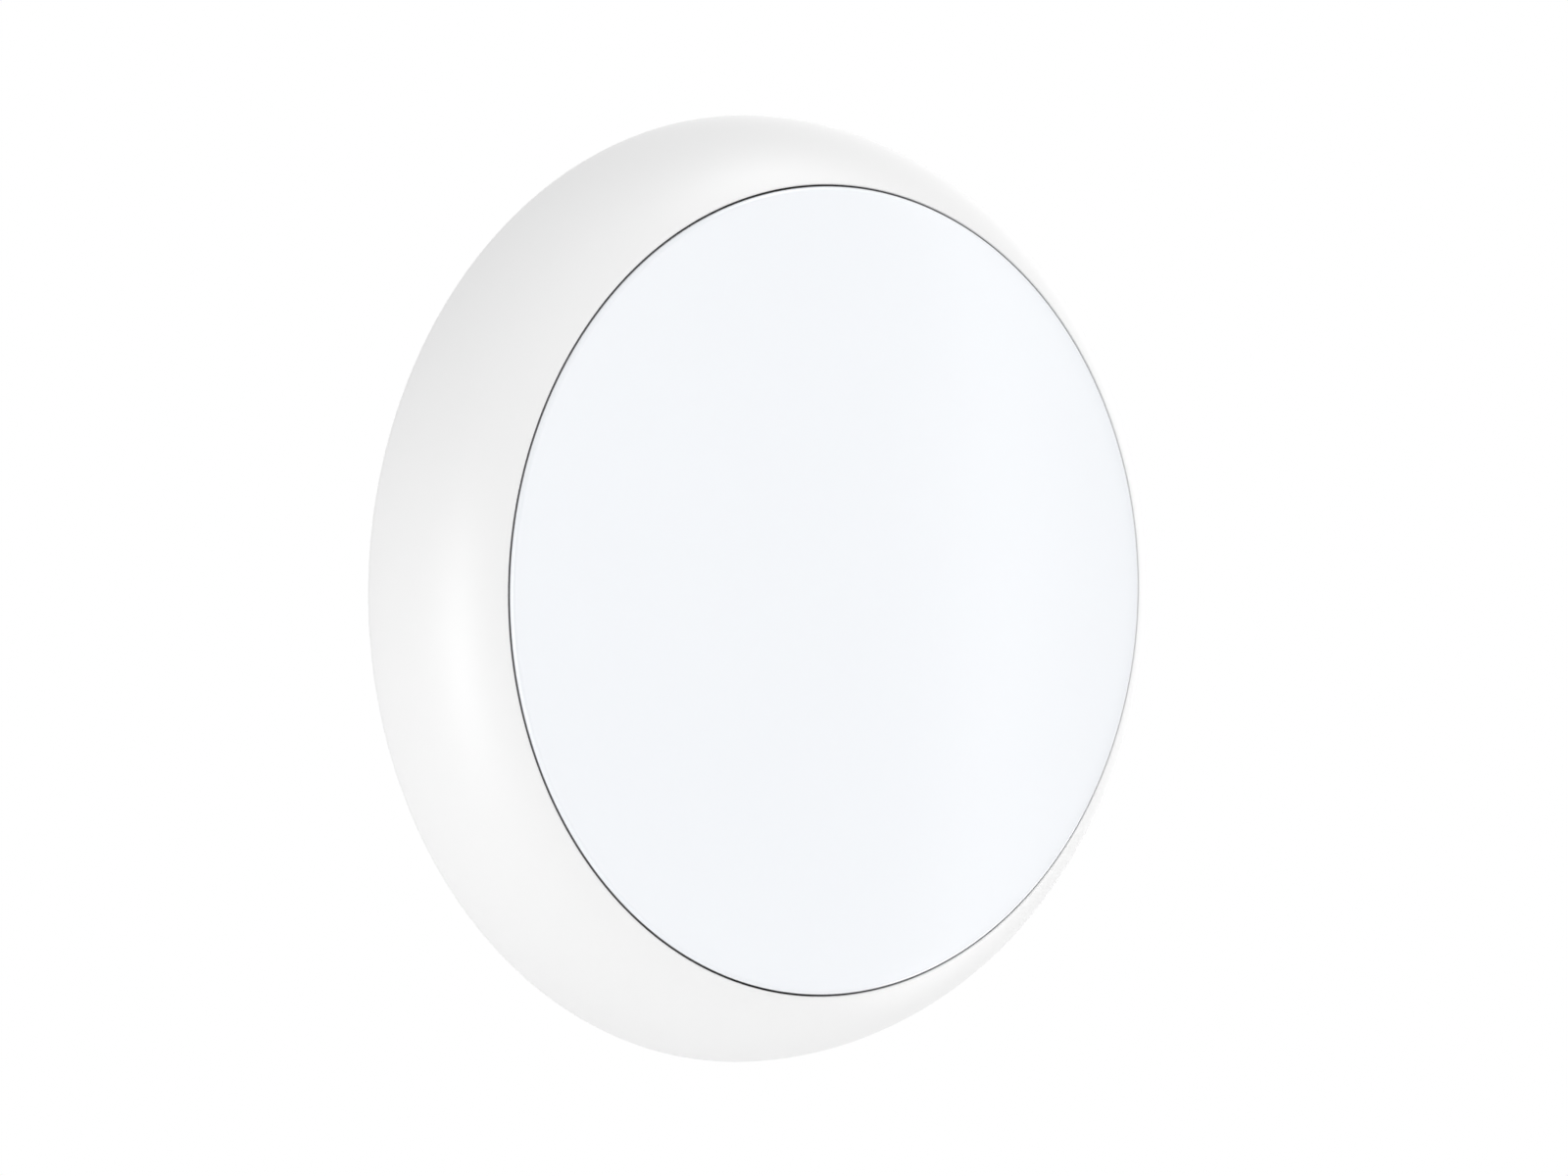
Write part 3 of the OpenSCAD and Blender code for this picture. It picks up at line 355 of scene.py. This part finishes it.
# The face's hidden side wall gets painted shade: its colour turns dark below the ring's lip, so that the seam
# reads as a fine dark line
face = {"colour": (0.865, 0.885, 0.915), "roughness": 0.14, "grain": 0.4 * mm, "grainDepth": 0.002 * mm,
        "drift": 0.004, "coat": 0.15, "coatRoughness": 0.12,
        "paintedGrooveShade": {"radius": 35.2 * mm, "depth": 21.98 * mm, "blend": 0.04 * mm,
                     "colour": (0.24, 0.24, 0.245)}}

# Plastics: colour, roughness, size and depth of the grain, drift of tone. Metals: colour, roughness, brush
finishes = {
    "ring_white": plastic("ringWhite", **bezel),
    "face_white": plastic("faceWhite", **face),
    "housing_white": plastic("housingWhite", (0.78, 0.78, 0.77), 0.5, 0.3 * mm, 0.02 * mm),
    "base_white": plastic("baseWhite", (0.74, 0.74, 0.73), 0.52, 0.3 * mm, 0.02 * mm),
    "block_white": plastic("blockWhite", (0.80, 0.80, 0.77), 0.45, 0.3 * mm, 0.02 * mm),
    "tab_orange": plastic("tabOrange", (0.80, 0.23, 0.03), 0.38, 0.3 * mm, 0.015 * mm, 0.05),
    "acetal": plastic("acetal", (0.80, 0.77, 0.68), 0.36, 0.4 * mm, 0.01 * mm, 0.03),
    "black_plastic": plastic("blackPlastic", (0.022, 0.023, 0.026), 0.46, 0.25 * mm, 0.02 * mm, 0.15),
    "board_green": circuitBoard("boardGreen"),
    "contact_gold": metal("contactGold", (0.86, 0.62, 0.22), 0.24),
    "spring_brass": metal("springBrass", (0.74, 0.52, 0.20), 0.3, (1, 6, 1)),
    "screw_steel": metal("screwSteel", (0.62, 0.62, 0.64), 0.32, (6, 1, 1)),
    "shield_steel": metal("shieldSteel", (0.70, 0.71, 0.72), 0.34, (1, 1, 8)),
    "vial_clear": clear("vialClear", tube),
    "vial_green": clear("vialGreen", liquid),
    "battery_foil": metal("batteryFoil", (0.55, 0.57, 0.60), 0.42),
    "lamp_black": plastic("lampBlack", (0.025, 0.025, 0.028), 0.3, 0.3 * mm, 0.01 * mm, 0.1),
}
slotOf = {s["node"]: s["material_slot"] for s in frame["record"]["subparts"]}
bodyOf = {n: b for b, members in frame["record"]["behaviour"]["bodies"].items() for n in members}
print("finishes made")


# Control ring: two tangent arcs outside, a hollow shoulder with ribs, and the lip at the seam. Angles in
# degrees from the axis, steps and rounds as counts
ringShape = {"sideRadius": 16.8 * mm, "shoulderRadius": 13.25 * mm, "rimRound": 0.9 * mm,
             "sideAngle": 86, "blendAngle": 64, "wall": 1.8 * mm, "bore": 39.2 * mm, "seatRise": 6.46 * mm,
             "lipWall": 1.1 * mm, "lipDepth": 2.53 * mm, "lipInner": 35.70 * mm, "lipRound": 0.12 * mm,
             "ribs": 24, "ribWall": 0.8 * mm, "ribRise": 1.2 * mm,
             "rounds": 288, "roundSteps": 4, "shoulderSteps": 26, "sideSteps": 16, "rimSteps": 8,
             "boreSteps": 4, "hollowSteps": 14, "ribSteps": 10, "smoothAngle": 30}


def away(centre, angle, radius):  # the point at an angle from the axis, seen from a centre in the section
    turn = math.radians(angle)
    return (centre[0] + radius * math.sin(turn), centre[1] + radius * math.cos(turn))


def angleAtRadius(centre, radius, goal):  # the angle at which an arc reaches a distance from the axis
    return math.degrees(math.asin((goal - centre[0]) / radius))


def angleAtDepth(centre, radius, goal):  # the angle at which it reaches a depth
    return math.degrees(math.acos((goal - centre[1]) / radius))


def makeRibs(s, shoulderCentre, seatDepth):  # they stand between the shoulder's inside and the lip
    inner, foot = s["lipInner"] + s["lipWall"] / 2, seatDepth + s["ribRise"]
    shoulder = s["shoulderRadius"] - s["wall"] / 2
    fromAngle = angleAtRadius(shoulderCentre, shoulder, inner)
    rib = startSection("ribs", inner, foot)
    lineTo(rib, *away(shoulderCentre, fromAngle, shoulder))
    arcTo(rib, shoulderCentre, angleAtDepth(shoulderCentre, shoulder, foot) - fromAngle, s["ribSteps"])
    selectAll()
    bpy.ops.mesh.remove_doubles(threshold=mergeDistance)
    closeLoop(rib["piece"])
    selectAll()
    bpy.ops.transform.translate(value=(0, 0, -s["ribWall"] / 2))
    bpy.ops.mesh.extrude_region_move(TRANSFORM_OT_translate={"value": (0, 0, s["ribWall"])})
    selectAll()
    others = s["ribs"] - 1
    bpy.ops.mesh.spin(steps=others, angle=2 * math.pi * others / s["ribs"], center=(0, 0, 0),
                      axis=(0, 1, 0), dupli=True)
    selectAll()
    bpy.ops.mesh.normals_make_consistent(inside=False)
    leaveEdit()
    return rib["piece"]


def makeRing(s):
    low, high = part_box("control_ring")
    rimRadius = high.x
    backDepth = -high.y
    rimDepth = backDepth + s["rimRound"] * (1 + math.cos(math.radians(s["sideAngle"])))
    sideCentre = away((rimRadius, rimDepth), s["sideAngle"], -s["sideRadius"])
    shoulderCentre = away(sideCentre, s["blendAngle"], s["sideRadius"] - s["shoulderRadius"])
    rimCentre = away((rimRadius, rimDepth), s["sideAngle"], -s["rimRound"])
    seatDepth = backDepth + s["seatRise"]
    # the outside, from the lip's edge back over the shoulder and the side to the rim
    endRadius = s["shoulderRadius"] - s["lipRound"]
    roundAngle = angleAtRadius(shoulderCentre, endRadius, s["lipInner"] + s["lipRound"])
    roundCentre = away(shoulderCentre, roundAngle, endRadius)
    start = away(roundCentre, -90, s["lipRound"])
    ring = startSection("controlRing", *start)
    arcTo(ring, roundCentre, 90 + roundAngle, s["roundSteps"])
    arcTo(ring, shoulderCentre, s["blendAngle"] - roundAngle, s["shoulderSteps"])
    arcTo(ring, sideCentre, s["sideAngle"] - s["blendAngle"], s["sideSteps"])
    arcTo(ring, rimCentre, 180 - s["sideAngle"], s["rimSteps"])
    # the back face and the bore, up to the gear's seat
    lineTo(ring, s["bore"], backDepth)
    lineTo(ring, s["bore"], seatDepth, s["boreSteps"])
    # the hollow behind the shoulder, and the lip
    hollow = s["shoulderRadius"] - s["wall"]
    lipFoot = -low.y - s["lipDepth"]
    startAngle = angleAtDepth(shoulderCentre, hollow, seatDepth)
    lineTo(ring, *away(shoulderCentre, startAngle, hollow))
    arcTo(ring, shoulderCentre, angleAtDepth(shoulderCentre, hollow, lipFoot) - startAngle, s["hollowSteps"])
    lineTo(ring, s["lipInner"], lipFoot)
    piece = turnSection(ring, s["rounds"])
    ribs = makeRibs(s, shoulderCentre, seatDepth)
    activate(piece)
    ribs.select_set(True)
    bpy.ops.object.join()
    smooth(piece, s["smoothAngle"])
    return give(piece, "controlRing", finishes["ring_white"], "control_ring", "control_ring")


makeRing(ringShape)
print("control ring made")


# Front cover: a slight dome with a rounded edge and a skirt, three posts for clips and three switch pads
coverShape = {"edgeRound": 0.4 * mm, "dome": 1.2 * mm, "thickness": 1.5 * mm, "skirt": 0.5 * mm,
              "skirtWall": 1.2 * mm, "postAngles": (90, 210, 330), "postRadius": 1.4 * mm,
              "postCircle": 29.175 * mm, "postGroove": 0.35 * mm, "postFoot": 15.1 * mm, "postEase": 0.3 * mm,
              "clipDepth": 15.9 * mm, "clipThickness": 0.4 * mm, "padAngles": (30, 150, 270),
              "padRadius": 1.7 * mm, "padCircle": 21.575 * mm, "padFoot": 20.25 * mm, "pegSink": 0.3 * mm,
              "rounds": 288, "domeSteps": 36, "edgeSteps": 8, "sideSteps": 3, "underSteps": 12, "pegRounds": 32,
              "smoothAngle": 30}


def turnedPeg(outline, at, rounds):  # a peg with its axis along Y, from (radius, depth) places, foot first
    peg = startSection("peg", *outline[0])
    for place in outline[1:]:
        lineTo(peg, *place)
    piece = turnSection(peg, rounds, closed=False)
    activate(piece)
    bpy.ops.transform.translate(value=(at[0], 0, at[1]))
    return settle(piece)


def makeCover(s):
    low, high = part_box("front_cover")
    rimRadius = high.x
    topDepth = -low.y
    rimDepth = topDepth - s["dome"]
    domeRadius = (rimRadius ** 2 + s["dome"] ** 2) / 2 / s["dome"]
    domeCentre = (0, topDepth - domeRadius)
    edgeAngle = math.degrees(math.asin((rimRadius - s["edgeRound"]) / (domeRadius - s["edgeRound"])))
    edgeCentre = away(domeCentre, edgeAngle, domeRadius - s["edgeRound"])
    under = rimDepth - s["thickness"]
    # the dome, its rounded edge, the skirt and the underside
    cover = startSection("frontCover", 0, topDepth)
    arcTo(cover, domeCentre, edgeAngle, s["domeSteps"])
    arcTo(cover, edgeCentre, 90 - edgeAngle, s["edgeSteps"])
    lineTo(cover, rimRadius, under - s["skirt"], s["sideSteps"])
    lineTo(cover, rimRadius - s["skirtWall"], under - s["skirt"])
    lineTo(cover, rimRadius - s["skirtWall"], under)
    lineTo(cover, 0, under, s["underSteps"])
    shell = turnSection(cover, s["rounds"], closed=False)
    # the posts and pads, sunk a little into the underside
    into = under + s["pegSink"]
    outer, inner, ease = s["postRadius"], s["postRadius"] - s["postGroove"], s["postEase"]
    foot, groove, grooveTop = s["postFoot"], s["clipDepth"], s["clipDepth"] + s["clipThickness"]
    post = [(0, foot), (outer - ease, foot), (outer, foot + ease), (outer, groove), (inner, groove),
            (inner, grooveTop), (outer, grooveTop), (outer, into), (0, into)]
    pad = [(0, s["padFoot"]), (s["padRadius"], s["padFoot"]), (s["padRadius"], into), (0, into)]
    pegs = []
    for outline, kind in ((post, "post"), (pad, "pad")):
        for angle in s[kind + "Angles"]:
            pegs.append(turnedPeg(outline, away((0, 0), 90 - angle, s[kind + "Circle"]), s["pegRounds"]))
    activate(shell)
    for peg in pegs:
        peg.select_set(True)
    bpy.ops.object.join()
    smooth(shell, s["smoothAngle"])
    return give(shell, "frontCover", finishes["face_white"], "front_cover", "front_cover")


makeCover(coverShape)
print("front cover made")


# The moulded and stamped pieces are copies of the CAD nodes with their edges broken, each by this width in mm
softEdges = {
    "wall_plate": 0.15, "base_cover": 0.1, "terminal_block_left": 0.1, "terminal_block_right": 0.1,
    "base_socket": 0.14, "vial_caps": 0.06, "base_cover_screws": 0.1, "relay_chips": 0.08,
    "rear_cover": 0.18, "ring_carrier": 0.14, "head_plug": 0.12, "plug_pins": 0.06, "charging_port": 0.05,
    "port_tongue": 0.06, "middle_frame": 0.15, "frame_screws": 0.1, "display_screws": 0.1, "light_mask": 0.1,
    "light_module": 0.06, "press_switches": 0.08, "switch_plungers": 0.05, "battery": 0.35, "buzzer": 0.15,
    "radio_shield": 0.05, "main_board_chips": 0.08, "temperature_sensor": 0.06, "board_connector": 0.08,
    "encoder_case": 0.12, "encoder_gear": 0.06, "post_clips": 0.05, "terminal_clamps": 0.04,
    "socket_contacts": 0.04, "base_circuit_board": 0.06, "main_circuit_board": 0.06, "display_board": 0.06,
    "wire_tab_1": 0.18, "wire_tab_2": 0.18, "wire_tab_3": 0.18, "wire_tab_4": 0.18, "wire_tab_5": 0.18,
    "wire_tab_6": 0.18,
}
cutFirst = ["light_mask"] + [f"wire_tab_{i}" for i in range(1, 7)]  # their faces fold over unless cut up first
# How the edges are broken: distances in metres, angles in degrees
edgeWork = {"mergeDistance": 0.0005 * mm, "flatAngle": 1, "sharpAngle": 60, "segments": 2,
            "cleanDistance": 0.001 * mm, "smoothAngle": 50, "faceWeight": 50}


def soften(name, width, s):
    piece = bpy.data.objects.new(name + "Soft", nodes[name].data.copy())
    bpy.context.scene.collection.objects.link(piece)
    editAll(piece)
    bpy.ops.mesh.remove_doubles(threshold=s["mergeDistance"])
    selectAll()
    bpy.ops.mesh.dissolve_limited(angle_limit=math.radians(s["flatAngle"]), delimit={"NORMAL"})
    if name in cutFirst:
        bpy.ops.mesh.quads_convert_to_tris(quad_method="BEAUTY", ngon_method="BEAUTY")
    leaveEdit()
    applyModifier(piece, "BEVEL", width=width * mm, segments=s["segments"], limit_method="ANGLE",
                  angle_limit=math.radians(s["sharpAngle"]), use_clamp_overlap=False)
    editAll(piece)
    bpy.ops.mesh.dissolve_degenerate(threshold=s["cleanDistance"])
    bpy.ops.mesh.remove_doubles(threshold=s["cleanDistance"])
    leaveEdit()
    smooth(piece, s["smoothAngle"])
    applyModifier(piece, "WEIGHTED_NORMAL", mode="FACE_AREA", weight=s["faceWeight"], keep_sharp=True)
    return give(piece, name + "Soft", finishes[slotOf[name]], bodyOf[name], name)


for name, width in softEdges.items():
    soften(name, width, edgeWork)
print("edges broken")

# What is left keeps its CAD mesh
for name, piece in nodes.items():
    piece.data.materials.clear()
    piece.data.materials.append(finishes[slotOf[name]])
print("nodes dressed")


# Camera: it aims beside the centre of the seam, which lies this far right and down in the view. Angles in
# degrees, lens and sensor in millimetres
view = {"azimuth": -38.95, "elevation": 1.01, "distance": 0.9652, "lens": 251.9775, "sensor": 36,
        "right": 4.191 * mm, "down": 0.235 * mm, "seamDepth": 22.1 * mm, "nearest": 0.01, "furthest": 50}


def makeCamera(v):
    turn = math.radians(v["azimuth"])
    tilt = math.radians(v["elevation"])
    forward = Vector((-math.sin(turn) * math.cos(tilt), math.cos(turn) * math.cos(tilt), -math.sin(tilt)))
    right = Vector((math.cos(turn), math.sin(turn), 0))
    up = right.cross(forward)
    seam = Vector((0, -v["seamDepth"], 0))
    place = seam - right * v["right"] + up * v["down"] - forward * v["distance"]
    data = bpy.data.cameras.new("camera")
    data.sensor_width = v["sensor"]
    data.lens = v["lens"]
    data.clip_start = v["nearest"]
    data.clip_end = v["furthest"]
    camera = bpy.data.objects.new("camera", data)
    bpy.context.scene.collection.objects.link(camera)
    camera.matrix_world = Matrix.Translation(place) @ Matrix((right, up, -forward)).transposed().to_4x4()
    bpy.context.scene.camera = camera


def makeWorld(strength):  # a white background, and this strength of light on the part
    world = bpy.data.worlds.new("studio")
    bpy.context.scene.world = world
    world.use_nodes = True
    sky = NodeTree(world.node_tree)
    light = sky.node("ShaderNodeBackground", None, {"Color": (1, 1, 1), "Strength": strength})
    seen = sky.node("ShaderNodeBackground", None, {"Color": (1, 1, 1), "Strength": 1.0})
    path = sky.node("ShaderNodeLightPath")
    white = Sum(sky, path.outputs["Is Camera Ray"])
    for ray in ("Is Glossy Ray", "Is Transmission Ray"):  # metal and glass show the white background too
        white = white.maths("MAXIMUM", white, path.outputs[ray])
    blend = sky.node("ShaderNodeMixShader", None, {0: white, 1: light.outputs[0], 2: seen.outputs[0]})
    sky.node("ShaderNodeOutputWorld", None, {"Surface": blend.outputs[0]})


def makeLamp(name, across, above, width, height, distance, power):
    turn, tilt = math.radians(across), math.radians(above)
    level = distance * math.cos(tilt)
    place = Vector((level * math.sin(turn), -level * math.cos(turn), distance * math.sin(tilt)))
    data = bpy.data.lights.new(name, "AREA")
    data.shape = "RECTANGLE"
    data.size = width
    data.size_y = height
    data.energy = power
    lamp = bpy.data.objects.new(name, data)
    bpy.context.scene.collection.objects.link(lamp)
    lamp.visible_camera = False
    lamp.location = place
    lamp.rotation_euler = (-place).to_track_quat("-Z", "Y").to_euler()


# The floor lies below the part and fades to plain white with the distance from it
floorShape = {"radius": 8, "corners": 96, "drop": 0.7, "dark": (0.80, 0.80, 0.80), "light": (0.83, 0.83, 0.83),
              "toneSize": 0.2, "toneDetail": 2, "roughness": 0.6, "glow": 0.55, "reflectedGlow": 0.95,
              "fadeFrom": 0.4, "fadeTo": 2.4}


def makeFloor(s):
    freshStart()
    bpy.ops.mesh.primitive_circle_add(vertices=s["corners"], radius=s["radius"], fill_type="NGON",
                                      location=(0, 0, cadBox[0][2] - s["drop"]))
    floor = settle(bpy.context.active_object)
    floor.name = "floor"
    finish = Finish("paleFloor")
    tone = finish.noise(s["toneSize"], s["toneDetail"])
    finish.set(Base_Color=finish.mix(tone, s["dark"], s["light"]), Roughness=s["roughness"])
    path = finish.node("ShaderNodeLightPath")
    x, y, z = finish.axes()
    fade = finish.node("ShaderNodeMapRange", None,
                       {"Value": (x * x + y * y) ** 0.5, "From Min": s["fadeFrom"], "From Max": s["fadeTo"],
                        "To Min": s["glow"], "To Max": 1.0})
    reflected = Sum(finish, path.outputs["Is Glossy Ray"]) + Sum(finish, path.outputs["Is Transmission Ray"])
    direct = Sum(finish, path.outputs["Is Camera Ray"]) * Sum(finish, fade.outputs[0])
    white = direct + reflected * s["reflectedGlow"]
    glow = finish.node("ShaderNodeEmission", None, {"Color": (1, 1, 1), "Strength": 1.0})
    blend = finish.node("ShaderNodeMixShader", None,
                        {0: white, 1: finish.shader.outputs[0], 2: glow.outputs[0]})
    finish.tree.links.new(blend.outputs[0], finish.output.inputs["Surface"])
    floor.data.materials.append(finish.material)


# Each lamp is a soft box that faces the part: degrees from straight in front, positive to the right, degrees
# above the level, width, height and distance in metres, and watts
studio = {"worldLight": 0.57,
          "boxes": {"rightBox": (55, 35, 0.9, 0.9, 1.6, 4.1), "topRightBox": (60, 60, 0.6, 0.6, 1.6, 5.5),
                    "leftBox": (-66, -2, 0.35, 0.6, 1.2, 3.1), "lowLeftBox": (-70, -20, 0.35, 0.6, 1.2, 3.1),
                    "frontBox": (30, 0, 0.9, 0.9, 1.6, 2.3), "faceStrip": (46, 0, 0.2, 1.3, 1.6, 0.8),
                    "lowRightBox": (80, -30, 0.5, 0.5, 1.0, 2.0), "backBox": (141, 10, 3.0, 1.8, 2.4, 7.5)}}

makeCamera(view)
makeWorld(studio["worldLight"])
makeFloor(floorShape)
for name, box in studio["boxes"].items():
    makeLamp(name, *box)
bpy.context.scene.view_settings.view_transform = "Standard"
print("stage and light made")
